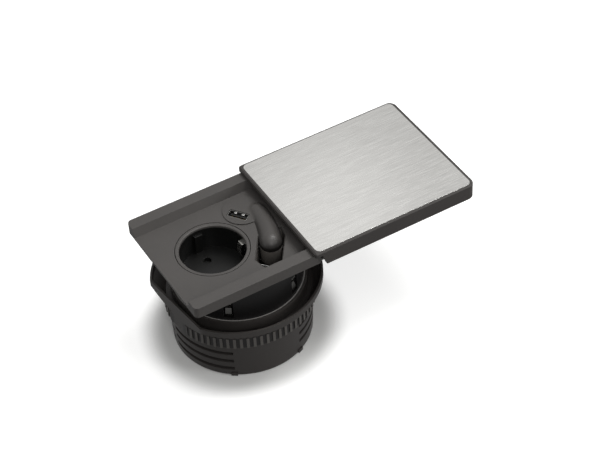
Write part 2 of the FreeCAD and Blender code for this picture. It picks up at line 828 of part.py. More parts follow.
def make_terminal_block():
    body = new_body("terminal_block", ("socket_x + 1", "0", "-base_bottom - terminal_height"))
    block = sketch(body, "terminal_outline", "XY_Plane")
    rectangle(block, "-5", "5", "-11", "11")
    pad(body, block, "terminal_height")
    ways = sketch(body, "wire_ways", "YZ_Plane", "5")
    for step in (-1, 0, 1):
        circle(ways, "%d * terminal_pitch" % step, "3.2", "1.5")
    pocket(body, ways, "7")
    pilots = sketch(body, "terminal_pilots", "XY_Plane")
    for step in (-1, 0, 1):
        circle(pilots, "0", "%d * terminal_pitch" % step, "1.0")
    pocket(body, pilots, "1.4", back=True)
    return body


def make_terminal_screws():
    x = value("socket_x") + 1
    low = -value("base_bottom + terminal_height") - 0.6
    pitch = value("terminal_pitch")
    screws = [screw(Vector(x, step * pitch, low), 1.5, 0.6, 1.0, 1.4) for step in (-1, 0, 1)]
    return feature("terminal_screws", Part.makeCompound(screws))


# ---------------------------------------------------------------- USB charger

def make_usb_shell():
    body = new_body("usb_shell", ("usb_x", "usb_y", "usb_low"), "usb_turn")
    frame = sketch(body, "usb_frame", "XY_Plane")
    rectangle(frame, "-usb_width / 2", "usb_width / 2", "-usb_depth / 2", "usb_depth / 2")
    rectangle(frame, "-(usb_width / 2 - usb_wall)", "usb_width / 2 - usb_wall",
              "-(usb_depth / 2 - usb_wall)", "usb_depth / 2 - usb_wall")
    pad(body, frame, "usb_length")
    return body


def make_usb_tongue():
    body = new_body("usb_tongue", ("usb_x", "usb_y", "usb_low"), "usb_turn")
    tongue = sketch(body, "tongue", "XY_Plane")
    rectangle(tongue, "-5.4", "5.4", "0.1", "1.9")
    pad(body, tongue, "usb_length - 1.6")
    foot = sketch(body, "tongue_foot", "XY_Plane")
    rectangle(foot, "-(usb_width / 2 - usb_wall)", "usb_width / 2 - usb_wall",
              "-(usb_depth / 2 - usb_wall)", "usb_depth / 2 - usb_wall")
    pad(body, foot, "2.2")
    return body


def make_usb_contacts():
    low = value("usb_low") + 2.2
    blades = [Part.makeBox(1.2, 0.35, 8.6, Vector(across - 0.6, -0.25, low)) for across in (-3.75, -1.25, 1.25, 3.75)]
    at = Vector(value("usb_x"), value("usb_y"), 0)
    return feature("usb_contacts", Part.makeCompound(blades), at, value("usb_turn"))


def make_usb_board():
    body = new_body("usb_circuit_board", ("usb_x", "usb_y", "usb_low"), "usb_turn")
    board = sketch(body, "board", "XY_Plane")
    rectangle(board, "-10", "10", "-4", "5")
    pad(body, board, "board_thickness", back=True)
    return body


def make_usb_converter():
    body = new_body("usb_converter", ("usb_x", "usb_y", "usb_low - board_thickness - 21.7"), "usb_turn")
    case = sketch(body, "converter_case", "XY_Plane")
    rectangle(case, "-11", "11", "-4.5", "8")
    pad(body, case, "21.7")
    return body


# ---------------------------------------------------------------- cable outlet

def arch(label, radius):
    """The hood's round volume: a bent bar with a ball at each end, sunk towards its start."""
    bar = doc.addObject("Part::Torus", label + "_bar")
    bar.setExpression("Radius1", formula("hood_bend"))
    bar.setExpression("Radius2", formula(radius))
    bar.setExpression("Angle3", formula("hood_start - hood_finish"))
    pieces = [bar]
    for name, angle in (("_start", "(hood_start - hood_finish)"), ("_finish", "0")):
        ball = doc.addObject("Part::Sphere", label + name)
        ball.setExpression("Radius", formula(radius))
        place(ball, ("hood_bend * cos(%s)" % angle, "hood_bend * sin(%s)" % angle, "0"))
        pieces.append(ball)
    tilted = doc.addObject("Part::Compound", label + "_tilted")
    tilted.Links = [fuse(label + "_bent", pieces)]
    tilted.Placement = Placement(Vector(), Rotation(Vector(1, 0, 0), value("-hood_tilt")))
    tilted.setExpression("Placement.Rotation.Angle", formula("-hood_tilt"))
    turned = doc.addObject("Part::Compound", label + "_turned")
    turned.Links = [tilted]
    place(turned, ("bend_x", "bend_y", "hood_axis_z"), "hood_finish")
    drop = cylinder(label + "_drop", HOOD_END_X, HOOD_END_Y, "-seam_drop", "hood_axis_z", radius)
    return fuse(label, [turned, drop])


def make_hood():
    """The hood over the cable outlet, with the raised pad round the USB port."""
    outer = arch("hood_outer", "hood_radius")
    inner = arch("hood_inner", "hood_radius - hood_wall")
    far = "80"
    below = box("hood_below", ("-20", far), ("-60", far), ("-20", "floor_top"))
    upper = cut("hood_upper", outer, below)
    front = outlet_prism("hood_front_limit", "outlet_back - 0.3", "-0.3", "-seam_drop", "floor_top + 0.5")
    lower = common("hood_lower", outer, front)
    raised = cylinder("usb_pad", "pad_x", "pad_y", "floor_top", "pad_top", "pad_radius")
    solid = fuse("hood_solid", [upper, lower, raised])
    deeper = cylinder("hood_inner_drop", HOOD_END_X, HOOD_END_Y, "-seam_drop - 1", "hood_axis_z",
                      "hood_radius - hood_wall")
    port = box("pad_port", ("-(usb_width / 2 + 0.15)", "usb_width / 2 + 0.15"),
               ("-(usb_depth / 2 + 0.15)", "usb_depth / 2 + 0.15"), ("0", "pad_top + 1"))
    turned = doc.addObject("Part::Compound", "pad_port_turned")
    turned.Links = [port]
    place(turned, ("usb_x", "usb_y", "0"), "usb_turn")
    return cut("outlet_hood", solid, fuse("hood_hollow", [inner, deeper, turned]))


def make_chute():
    """Upright walls that line the outlet pocket under the tray's floor."""
    outer = outlet_prism("chute_outer", "chute_back + chute_wall", "chute_wall", "-chute_depth", "0", False)
    inner = outlet_prism("chute_inner", "chute_back", "0", "-chute_depth - 1", "1", False)
    return cut("outlet_chute", outer, inner)


def make_flap():
    """A curved visor that closes the space under the hood and swings inwards."""
    body = new_body("outlet_flap", (HOOD_END_X, HOOD_END_Y, "-flap_drop"), "outlet_turn")
    shell = sketch(body, "flap_section", "XZ_Plane", turn="-88")
    top = "(flap_drop - seam_drop - slide_gap)"
    rectangle(shell, "hood_radius - flap_wall", "hood_radius", "0", top)
    revolve(body, shell, "176")
    pins = sketch(body, "flap_hinge", "XZ_Plane", "12")
    circle(pins, "hinge_ahead", "flap_drop - hinge_drop", "hinge_radius + 0.06")
    pocket(body, pins, "24")
    return body


def make_flap_pins():
    radius = value("hinge_radius")
    inner = value("hood_radius - flap_wall") - 0.2
    length = value("outlet_half_width") - inner
    drop = -value("hinge_drop")
    pins = []
    for side in (-1, 1):
        start = Vector(value("hinge_ahead"), side * inner, drop)
        pins.append(Part.makeCylinder(radius, length, start, Vector(0, side, 0)))
    at = Vector(value(HOOD_END_X), value(HOOD_END_Y), 0)
    return feature("flap_pins", Part.makeCompound(pins), at, value("outlet_turn"))


# ---------------------------------------------------------------- clamping ring

def make_clamping_ring():
    outer = new_body("ring_outer", turn="ring_turn")
    section = sketch(outer, "ring_section", "XZ_Plane")
    bore = "(neck_outer + ring_gap)"
    outline(section, [
        (bore, "-ring_bottom"), ("band_outer", "-ring_bottom"), ("band_outer", "-band_top"),
        ("lip_outer", "-(lip_top + lip_height)"), ("lip_outer", "-lip_top"), (bore, "-lip_top"),
    ])
    revolve(outer, section)
    ear = sketch(outer, "ear_section", "XZ_Plane", turn="ear_start")
    outline(ear, [
        ("band_outer - 1", "-band_top"), ("band_outer", "-band_top"),
        ("lip_outer + ear_flare", "-(lip_top + lip_height)"), ("lip_outer + ear_flare", "-lip_top"),
        ("band_outer - 1", "-lip_top"),
    ])
    revolve(outer, ear, "ear_span")
    rib = sketch(outer, "rib", "XY_Plane", "-ring_bottom")
    rectangle(rib, "band_outer - 0.5", "band_outer + rib_height", "-rib_width / 2", "rib_width / 2")
    polar_pattern(outer, pad(outer, rib, "ring_bottom - band_top - 0.9"), "rib_count")
    flats = sketch(outer, "grip_flats", "XY_Plane", "-lip_top + 1")
    for side in ("-1", "1"):
        near = side + " * ring_flat"
        rectangle(flats, near, side + " * (ring_flat + 20)", "-60", "60")
    pocket(outer, flats, "ring_bottom")
    seat = sketch(outer, "pot_seat", "XZ_Plane")
    rectangle(seat, bore + " + collar_wall", "band_outer - 1.9", "-ring_bottom - 1", "-(band_top + 2.9)")
    groove(outer, seat)

    hollow = new_body("ring_hollow", turn="ring_turn")
    inside = sketch(hollow, "hollow_section", "XZ_Plane")
    outline(inside, [
        ("neck_outer - 1", "-collar_top"), (bore + " + collar_wall", "-collar_top"),
        (bore + " + collar_wall", "-(band_top + 0.3)"), ("band_outer - lip_wall", "-(band_top + 0.3)"),
        ("lip_outer - lip_wall", "-(lip_top + lip_height + 0.3)"), ("lip_outer - lip_wall", "-lip_top + 2"),
        ("neck_outer - 1", "-lip_top + 2"),
    ])
    revolve(hollow, inside)
    ear_inside = sketch(hollow, "ear_hollow", "XZ_Plane", turn="ear_start + 1.5")
    outline(ear_inside, [
        ("band_outer - lip_wall - 1", "-(band_top + 0.3)"), ("band_outer - lip_wall", "-(band_top + 0.3)"),
        ("lip_outer + ear_flare - lip_wall", "-(lip_top + lip_height + 0.3)"),
        ("lip_outer + ear_flare - lip_wall", "-lip_top + 2"), ("band_outer - lip_wall - 1", "-lip_top + 2"),
    ])
    revolve(hollow, ear_inside, "ear_span - 3")
    limits = sketch(hollow, "hollow_flats", "XY_Plane", "-lip_top + 3")
    for side in ("-1", "1"):
        near = side + " * (ring_flat - lip_wall)"
        rectangle(limits, near, side + " * (ring_flat + 20)", "-60", "60")
    pocket(hollow, limits, "ring_bottom")
    return cut("clamping_ring", outer, hollow)


# ---------------------------------------------------------------- pot

def make_pot():
    body = new_body("pot", turn="pot_turn")
    section = sketch(body, "pot_section", "XZ_Plane")
    rim_outer = "(band_outer - 1.9 - turning_gap)"
    outline(section, [
        ("rim_inner", "-(band_top + 3.4)"), (rim_outer, "-(band_top + 3.4)"), (rim_outer, "-pot_shoulder"),
        ("pot_top_radius", "-pot_shoulder"), ("pot_bottom_radius", "-pot_bottom + 0.8"),
        ("pot_bottom_radius - 0.8", "-pot_bottom"), ("pot_inner", "-pot_bottom"),
        ("pot_inner", "-(pot_shoulder + 1.8)"), ("rim_inner", "-(pot_shoulder + 1.4)"),
    ])
    revolve(body, section)
    # Cooling slots: three rows in each of four sectors.
    spans = [
        ("right_front_slots", "-slot_half_span", "slot_right_level"),
        ("right_back_slots", "slot_strut", "slot_right_level"),
        ("left_back_slots", "180 - slot_half_span", "slot_left_level"),
        ("left_front_slots", "180 + slot_strut", "slot_left_level"),
    ]
    for name, start, level in spans:
        rows = sketch(body, name, "XZ_Plane", turn=start)
        for step in (-1, 0, 1):
            middle = "-(%s + %d * slot_pitch)" % (level, step)
            rectangle(rows, "pot_inner - 2", "pot_top_radius + 2",
                      middle + " - slot_height / 2", middle + " + slot_height / 2")
        groove(body, rows, "slot_half_span - slot_strut")
    # Notches for the cover's snap tabs.
    for index, azimuth in enumerate(tab_azimuths()):
        notch = sketch(body, "tab_notch_%d" % (index + 1), "XZ_Plane", turn=str(azimuth + 90))
        rectangle(notch, "-2.2", "2.2", "-pot_bottom - 1", "-pot_bottom + 3")
        pocket(body, notch, "pot_bottom_radius + 2", back=True)
    bosses = []
    for azimuth in boss_azimuths():
        at = ring_points(value("pot_inner - boss_inset"), [azimuth], 0)[0]
        bosses.append((at.x, at.y))
    for index, (x, y) in enumerate(bosses):
        boss = sketch(body, "boss_%d" % (index + 1), "XY_Plane", "-pot_bottom + cover_lift + cover_thickness")
        circle(boss, str(x), str(y), "3.0")
        pad(body, boss, "4.5")
        hole = sketch(body, "boss_hole_%d" % (index + 1), "XY_Plane", "-pot_bottom + cover_lift + cover_thickness")
        circle(hole, str(x), str(y), "1.15")
        pocket(body, hole, "4.0", back=True)
    return body


def tab_azimuths():
    return [-60, 60, 120, 240]


def boss_azimuths():
    return [0, 90, 180, 270]


def make_bottom_cover():
    body = new_body("bottom_cover", ("0", "0", "-pot_bottom + cover_lift"), "pot_turn")
    disc = sketch(body, "cover_disc", "XY_Plane")
    circle(disc, "0", "0", "pot_inner - 0.2")
    pad(body, disc, "cover_thickness")
    for index, azimuth in enumerate(tab_azimuths()):
        tab = sketch(body, "tab_%d" % (index + 1), "XZ_Plane", "pot_inner - 3", str(azimuth + 90))
        rectangle(tab, "-2.0", "2.0", "0", "cover_thickness")
        pad(body, tab, "pot_bottom_radius - pot_inner + 3.8")
    opening = sketch(body, "cable_opening", "XY_Plane", "cover_thickness")
    circle(opening, "12", "-8", "13")
    pocket(body, opening, "cover_thickness")
    for name, side in (("front_pilot", "-1"), ("back_pilot", "1")):
        pilot = sketch(body, name, "XY_Plane", "cover_thickness")
        circle(pilot, "clamp_x", "clamp_y + %s * clamp_screw_spread" % side, "1.1")
        pocket(body, pilot, "1.5")
    gland = sketch(body, "cord_opening", "XY_Plane", "cover_thickness")
    circle(gland, "-17", "0", "4.5")
    pocket(body, gland, "cover_thickness")
    for index, azimuth in enumerate(boss_azimuths()):
        at = ring_points(value("pot_inner - boss_inset"), [azimuth], 0)[0]
        hole = sketch(body, "cover_hole_%d" % (index + 1), "XY_Plane", "cover_thickness")
        circle(hole, str(at.x), str(at.y), "1.4")
        pocket(body, hole, "cover_thickness")
        sink = sketch(body, "cover_sink_%d" % (index + 1), "XY_Plane")
        circle(sink, str(at.x), str(at.y), "2.1")
        pocket(body, sink, "1.0", back=True)
    return body


def make_cover_screws():
    low = -value("pot_bottom") + value("cover_lift")
    points = ring_points(value("pot_inner - boss_inset"), boss_azimuths(), low)
    screws = [screw(at, 2.0, 1.0, 1.15, 4.4) for at in points]
    return feature("cover_screws", Part.makeCompound(screws), turn=value("pot_turn"))


def clamp_point():
    """Where the cord clamp stands on the cover, in the part's own frame."""
    turned = Rotation(Vector(0, 0, 1), value("pot_turn"))
    return turned.multVec(Vector(value("clamp_x"), value("clamp_y"), 0))


def make_cord_clamp():
    """A saddle beside the cord opening that the supply cord is clamped under."""
    level = "(-pot_bottom + cover_lift + cover_thickness)"
    at = clamp_point()
    body = new_body("cord_clamp", (str(at.x), str(at.y), level), "pot_turn")
    arch_section = sketch(body, "clamp_section", "YZ_Plane", "-3.5")
    outline(arch_section, [
        ("-10.5", "0"), ("-4.6", "0"), ("-4.6", "5.0"), ("4.6", "5.0"), ("4.6", "0"), ("10.5", "0"),
        ("10.5", "2.2"), ("6.6", "2.2"), ("6.6", "7.0"), ("-6.6", "7.0"), ("-6.6", "2.2"), ("-10.5", "2.2"),
    ])
    pad(body, arch_section, "7")
    holes = sketch(body, "clamp_holes", "XY_Plane", "2.2")
    circle(holes, "0", "clamp_screw_spread", "1.3")
    circle(holes, "0", "-clamp_screw_spread", "1.3")
    pocket(body, holes, "2.2")
    return body


def make_clamp_screws():
    level = value("-pot_bottom + cover_lift + cover_thickness")
    spread = value("clamp_screw_spread")
    screws = [screw(Vector(0, side * spread, level + 2.2 + 1.4), 1.8, 1.4, 1.1, 3.6, up=False) for side in (-1, 1)]
    return feature("clamp_screws", Part.makeCompound(screws), clamp_point(), value("pot_turn"))


# ---------------------------------------------------------------- build and write

sub_parts = [
    make_upper_housing(),
    make_shoe("guide_shoe_front", "-1"),
    make_shoe("guide_shoe_back", "1"),
    make_shoe_screws(),
    make_lid_frame(),
    make_lid_plate(),
    make_lid_rail("lid_rail_front", "-1"),
    make_lid_rail("lid_rail_back", "1"),
    make_socket_bezel(),
    make_socket_well(),
    make_earth_clip("earth_clip_left", -1),
    make_earth_clip("earth_clip_right", 1),
    make_socket_base(),
    make_socket_screws(),
    make_shutter(),
    make_line_contact("line_contact_front", "-1"),
    make_line_contact("line_contact_back", "1"),
    make_terminal_block(),
    make_terminal_screws(),
    make_usb_shell(),
    make_usb_tongue(),
    make_usb_contacts(),
    make_usb_board(),
    make_usb_converter(),
    make_hood(),
    make_chute(),
    make_flap(),
    make_flap_pins(),
    make_clamping_ring(),
    make_pot(),
    make_bottom_cover(),
    make_cover_screws(),
    make_cord_clamp(),
    make_clamp_screws(),
]
for number, azimuth in enumerate(spring_azimuths(), start=1):
    sub_parts.append(make_detent_spring(number, azimuth))

doc.recompute()
for thing in doc.Objects:
    if "Invalid" in thing.State or "Error" in thing.State:
        raise RuntimeError(thing.Label + " failed: " + str(thing.State))
for thing in sub_parts:
    if thing.Shape.isNull() or not thing.Shape.isValid():
        raise RuntimeError(thing.Label + " has no valid shape")
for thing in sub_parts:
    thing.Shape.exportStep("parts/" + thing.Label + ".step")
    print(thing.Label, len(thing.Shape.Solids), round(thing.Shape.Volume, 1))
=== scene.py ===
import math

import bpy
from mathutils import Matrix, Vector


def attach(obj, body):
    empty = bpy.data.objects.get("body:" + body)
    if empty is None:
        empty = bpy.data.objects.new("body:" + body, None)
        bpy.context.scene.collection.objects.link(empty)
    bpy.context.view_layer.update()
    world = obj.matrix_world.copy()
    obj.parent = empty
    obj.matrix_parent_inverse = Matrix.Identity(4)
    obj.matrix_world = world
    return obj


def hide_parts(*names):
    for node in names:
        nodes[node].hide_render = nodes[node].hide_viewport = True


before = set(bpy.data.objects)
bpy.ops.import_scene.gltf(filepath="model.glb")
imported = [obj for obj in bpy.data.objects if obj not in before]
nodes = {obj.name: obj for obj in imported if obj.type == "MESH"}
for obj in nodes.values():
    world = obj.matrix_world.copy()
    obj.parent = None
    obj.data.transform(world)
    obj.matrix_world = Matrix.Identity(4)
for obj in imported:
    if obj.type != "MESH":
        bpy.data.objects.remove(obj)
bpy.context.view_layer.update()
mm = 0.001
print("frame loaded:", len(nodes), "nodes")

# camera: a long lens from the front left, looking down at the tray
cameraSetup = {
    "place": (-328.87, -700.75, 746.48),   # mm
    "aim": (34.316, -4.467, 0.0),          # mm, a point at the desk top's height
    "leanDeg": -4.118,
    "lens": 109.0,                         # mm, on a sensor of the width below
    "sensor": 36.0,
    "shift": (0.01865, -0.00159),
    "clip": (0.05, 20.0),                  # m
}


def addCamera(setup):
    data = bpy.data.cameras.new("camera")
    data.sensor_width = setup["sensor"]
    data.lens = setup["lens"]
    data.shift_x, data.shift_y = setup["shift"]
    data.clip_start, data.clip_end = setup["clip"]
    cameraObject = bpy.data.objects.new("camera", data)
    scene = bpy.context.scene
    scene.collection.objects.link(cameraObject)
    place = Vector(setup["place"]) * mm
    aim = Vector(setup["aim"]) * mm
    facing = (aim - place).to_track_quat("-Z", "Y").to_matrix().to_4x4()
    lean = Matrix.Rotation(math.radians(setup["leanDeg"]), 4, "Z")
    cameraObject.matrix_world = Matrix.Translation(place) @ facing @ lean
    scene.camera = cameraObject


addCamera(cameraSetup)
print("camera placed")

mixFactor, mixFirst, mixSecond, mixResult = 0, 6, 7, 2   # the sockets of a colour mix


def toLinear(hexColour):
    channels = []
    for start in (0, 2, 4):
        part = int(hexColour[start:start + 2], 16) / 255.0
        channels.append(part / 12.92 if part <= 0.04045 else ((part + 0.055) / 1.055) ** 2.4)
    return (*channels, 1.0)


def addNode(tree, kind, settings=None, links=None):
    node = tree.nodes.new(kind)
    for name, setting in (settings or {}).items():
        if isinstance(name, int) or name in node.inputs:
            node.inputs[name].default_value = setting
        else:
            setattr(node, name, setting)
    for name, source in (links or {}).items():
        tree.links.new(source, node.inputs[name])
    return node


def newMaterial(name, surface):
    made = bpy.data.materials.new(name)
    made.use_nodes = True
    tree = made.node_tree
    tree.nodes.clear()
    shader = addNode(tree, "ShaderNodeBsdfPrincipled", surface)
    addNode(tree, "ShaderNodeOutputMaterial", links={"Surface": shader.outputs["BSDF"]})
    place = addNode(tree, "ShaderNodeTexCoord").outputs["Object"]
    return made, tree, shader, place


# what all the moulded plastics share
resin = {"ior": 1.53, "specular": 0.32, "cloudMm": 18.0, "bumpMm": 0.04, "spread": 0.06}


def mouldedPlastic(name, look):
    made, tree, shader, place = newMaterial(name, {"Roughness": look["roughness"], "IOR": resin["ior"],
                                                   "Specular IOR Level": resin["specular"]})
    # spark-eroded mould texture: grains of a few tenths of a millimetre
    grain = addNode(tree, "ShaderNodeTexNoise",
                    {"Scale": 1.0 / (look["grainMm"] * mm), "Detail": 3.0, "Roughness": 0.6},
                    {"Vector": place})
    cloud = addNode(tree, "ShaderNodeTexNoise", {"Scale": 1.0 / (resin["cloudMm"] * mm), "Detail": 4.0},
                    {"Vector": place})
    colour = addNode(tree, "ShaderNodeMix",
                     {"data_type": "RGBA", mixFirst: toLinear(look["dark"]),
                      mixSecond: toLinear(look["light"])},
                     {mixFactor: cloud.outputs["Fac"]})
    # painted shade on upright faces
    if "side" in look:
        colour = paintSideShade(tree, colour, look["side"])
    if "below" in look:
        colour = darkenBelow(tree, place, colour, look["below"])
    # painted shade in the rib gaps and painted highlights on the rib crests
    if "ribs" in look:
        colour = paintRibLight(tree, place, colour, look["ribs"])
    # a painted highlight round the bowl's inner rim
    if "edge" in look:
        colour = paintEdgeHighlight(tree, place, colour, look["edge"])
    tree.links.new(colour.outputs[mixResult], shader.inputs["Base Color"])
    rough = addNode(tree, "ShaderNodeMapRange", {"To Min": look["roughness"] - resin["spread"],
                                                 "To Max": look["roughness"] + resin["spread"]},
                    {"Value": grain.outputs["Fac"]})
    tree.links.new(rough.outputs["Result"], shader.inputs["Roughness"])
    bump = addNode(tree, "ShaderNodeBump", {"Strength": look["bump"], "Distance": resin["bumpMm"] * mm},
                   {"Height": grain.outputs["Fac"]})
    tree.links.new(bump.outputs["Normal"], shader.inputs["Normal"])
    return made


# painted shade: upright faces are drawn in a darker tone, and a level face keeps the plastic's colour
def paintSideShade(tree, colour, look):
    normal = addNode(tree, "ShaderNodeNewGeometry").outputs["Normal"]
    facing = addNode(tree, "ShaderNodeSeparateXYZ", links={0: normal})
    level = addNode(tree, "ShaderNodeMapRange",
                    {"interpolation_type": "SMOOTHSTEP", "From Min": 0.0, "From Max": look["level"]},
                    {"Value": facing.outputs["Z"]})
    return addNode(tree, "ShaderNodeMix", {"data_type": "RGBA", mixFirst: toLinear(look["tone"])},
                   {mixFactor: level.outputs["Result"], mixSecond: colour.outputs[mixResult]})


# below a height the tone changes over a few tenths of a millimetre
def darkenBelow(tree, place, colour, look):
    height = addNode(tree, "ShaderNodeSeparateXYZ", links={0: place})
    level = addNode(tree, "ShaderNodeMapRange",
                    {"From Min": look["fromMm"] * mm, "From Max": look["toMm"] * mm},
                    {"Value": height.outputs["Z"]})
    return addNode(tree, "ShaderNodeMix", {"data_type": "RGBA", mixFirst: toLinear(look["tone"])},
                   {mixFactor: level.outputs["Result"], mixSecond: colour.outputs[mixResult]})


def distanceFromAxis(tree, place):
    flat = addNode(tree, "ShaderNodeVectorMath", {"operation": "MULTIPLY", 1: (1, 1, 0)}, {0: place})
    out = addNode(tree, "ShaderNodeVectorMath", {"operation": "LENGTH"}, {0: flat.outputs[0]})
    return out.outputs["Value"]


# painted light on the ribbed band: rib crests are drawn light as highlights and the rib gaps between them
# dark as shade
def paintRibLight(tree, place, colour, look):
    out = distanceFromAxis(tree, place)
    crestHighlight = addNode(tree, "ShaderNodeMapRange",
                    {"From Min": look["gapMm"] * mm, "From Max": look["crestMm"] * mm}, {"Value": out})
    tone = addNode(tree, "ShaderNodeMix",
                   {"data_type": "RGBA", mixFirst: toLinear(look["gapShade"]), mixSecond: toLinear(look["crestHighlight"])},
                   {mixFactor: crestHighlight.outputs["Result"]})
    height = addNode(tree, "ShaderNodeSeparateXYZ", links={0: place})
    under = addNode(tree, "ShaderNodeMath", {"operation": "LESS_THAN", 1: look["topMm"] * mm},
                    {0: height.outputs["Z"]})
    outer = addNode(tree, "ShaderNodeMath",
                    {"operation": "GREATER_THAN", 1: (look["gapMm"] - look["marginMm"]) * mm}, {0: out})
    band = addNode(tree, "ShaderNodeMath", {"operation": "MULTIPLY"},
                   {0: under.outputs[0], 1: outer.outputs[0]})
    return addNode(tree, "ShaderNodeMix", {"data_type": "RGBA"},
                   {mixFactor: band.outputs[0], mixFirst: colour.outputs[mixResult],
                    mixSecond: tone.outputs[mixResult]})


# painted highlight: a thin light line drawn round the bowl's inner rim
def paintEdgeHighlight(tree, place, colour, look):
    out = distanceFromAxis(tree, place)
    onRadius = addNode(tree, "ShaderNodeMath",
                       {"operation": "COMPARE", 1: look["radiusMm"] * mm, 2: look["halfMm"] * mm}, {0: out})
    height = addNode(tree, "ShaderNodeSeparateXYZ", links={0: place})
    onLevel = addNode(tree, "ShaderNodeMath",
                      {"operation": "COMPARE", 1: look["heightMm"] * mm, 2: look["halfMm"] * mm},
                      {0: height.outputs["Z"]})
    both = addNode(tree, "ShaderNodeMath", {"operation": "MULTIPLY"},
                   {0: onRadius.outputs[0], 1: onLevel.outputs[0]})
    return addNode(tree, "ShaderNodeMix", {"data_type": "RGBA", mixSecond: toLinear(look["tone"])},
                   {mixFactor: both.outputs[0], mixFirst: colour.outputs[mixResult]})


# ABS moulded in a finely spark-eroded tool: a soft, warm grey sheen
trayAbs = mouldedPlastic("moulded_abs_tray", {
    "dark": "444240", "light": "4c4947", "roughness": 0.46, "grainMm": 0.45, "bump": 0.35})
# pocket walls and visor: the same plastic, drawn lighter to suit how little light gets in there
pocketAbs = mouldedPlastic("moulded_abs_pocket", {
    "dark": "5c5854", "light": "64605c", "roughness": 0.46, "grainMm": 0.45, "bump": 0.3})
# the tray again, with a nearly black neck; that the neck is darker is judged
housingAbs = mouldedPlastic("moulded_abs_housing", {
    "dark": "444240", "light": "4c4947", "roughness": 0.42, "grainMm": 0.45, "bump": 0.35,
    "below": {"tone": "0b0a0a", "fromMm": -0.6, "toMm": -0.2}})
# painted shade: the hood's upright faces are drawn darker than its top; a smoother finish there is assumed
hoodAbs = mouldedPlastic("moulded_abs_hood", {
    "dark": "42403e", "light": "494644", "roughness": 0.42, "grainMm": 0.45, "bump": 0.3,
    "side": {"tone": "171514", "level": 0.95}})
lidAbs = mouldedPlastic("moulded_abs_lid", {
    "dark": "363331", "light": "3d3a38", "roughness": 0.44, "grainMm": 0.45, "bump": 0.3})
# the ring has painted highlights on its rib crests and along the bowl's inner rim, and painted shade in its
# rib gaps
ringAbs = mouldedPlastic("moulded_abs_ring_painted_light", {
    "dark": "363331", "light": "3d3a38", "roughness": 0.34, "grainMm": 0.5, "bump": 0.3,
    "ribs": {"gapShade": "1b1918", "crestHighlight": "565350", "gapMm": 45.85, "crestMm": 46.3, "topMm": -35.4,
             "marginMm": 0.3},
    "edge": {"tone": "8f8d8a", "radiusMm": 39.95, "heightMm": -26.0, "halfMm": 0.35}})
potAbs = mouldedPlastic("moulded_abs_pot", {
    "dark": "363331", "light": "3c3937", "roughness": 0.36, "grainMm": 0.5, "bump": 0.3})
# black polyamide inside the socket and under the lid: deep, slightly glossy
blackPolyamide = mouldedPlastic("black_polyamide", {
    "dark": "080807", "light": "0e0e0d", "roughness": 0.36, "grainMm": 0.5, "bump": 0.2})
# solder mask over the board: an even green with a faint gloss
circuitBoard = mouldedPlastic("green_solder_mask", {
    "dark": "1f4a2c", "light": "285a36", "roughness": 0.35, "grainMm": 1.0, "bump": 0.1})

metalSpread = 0.08   # how far the roughness of a metal wanders


def metal(name, look):
    made, tree, shader, place = newMaterial(name, {"Metallic": 1.0, "Roughness": look["roughness"]})
    wear = addNode(tree, "ShaderNodeTexNoise", {"Scale": 1.0 / (look["grainMm"] * mm), "Detail": 4.0},
                   {"Vector": place})
    colour = addNode(tree, "ShaderNodeMix",
                     {"data_type": "RGBA", mixFirst: toLinear(look["dark"]),
                      mixSecond: toLinear(look["light"])},
                     {mixFactor: wear.outputs["Fac"]})
    tree.links.new(colour.outputs[mixResult], shader.inputs["Base Color"])
    rough = addNode(tree, "ShaderNodeMapRange", {"To Min": look["roughness"] - metalSpread,
                                                 "To Max": look["roughness"] + metalSpread},
                    {"Value": wear.outputs["Fac"]})
    tree.links.new(rough.outputs["Result"], shader.inputs["Roughness"])
    return made


# the finishes of the small metal pieces are assumed from what such pieces are made of
springSteel = metal("rolled_spring_steel", {
    "dark": "aaa8a3", "light": "c6c4be", "roughness": 0.28, "grainMm": 1.2})
nickelledSteel = metal("nickelled_port_steel", {
    "dark": "c3c2bf", "light": "d8d7d4", "roughness": 0.18, "grainMm": 0.8})
# blued strip: dark, with bright bends
bluedSteel = metal("blued_spring_steel", {
    "dark": "4c4b4a", "light": "6a6967", "roughness": 0.3, "grainMm": 0.9})
# phosphated pins: nearly black
phosphatedSteel = metal("phosphated_pin_steel", {
    "dark": "232322", "light": "313130", "roughness": 0.45, "grainMm": 0.6})
# the port's frame: duller than its springs
satinSteel = metal("satin_port_frame", {
    "dark": "6f6e6c", "light": "8a8987", "roughness": 0.34, "grainMm": 0.8})
zincSteel = metal("zinc_plated_screw", {
    "dark": "9a9a98", "light": "b8b8b5", "roughness": 0.35, "grainMm": 0.8})
contactBrass = metal("drawn_brass", {
    "dark": "b08b4c", "light": "d0aa66", "roughness": 0.3, "grainMm": 1.0})
goldFlash = metal("gold_flashed_contact", {
    "dark": "d2a548", "light": "e6bf67", "roughness": 0.22, "grainMm": 0.6})

# brushing runs along X: strokes 12.5 mm long and 0.56 mm wide, about twice as coarse as a real
# brushed sheet so that they show, over broader bands 33 mm long and 1.4 mm wide
brushing = {"dark": "aeadaa", "light": "eae9e6", "roughness": (0.16, 0.36), "strokeMm": (12.5, 5 / 9),
            "bandMm": (100 / 3, 10 / 7), "strokeShare": 0.72, "bump": 0.5, "bumpMm": 0.02}


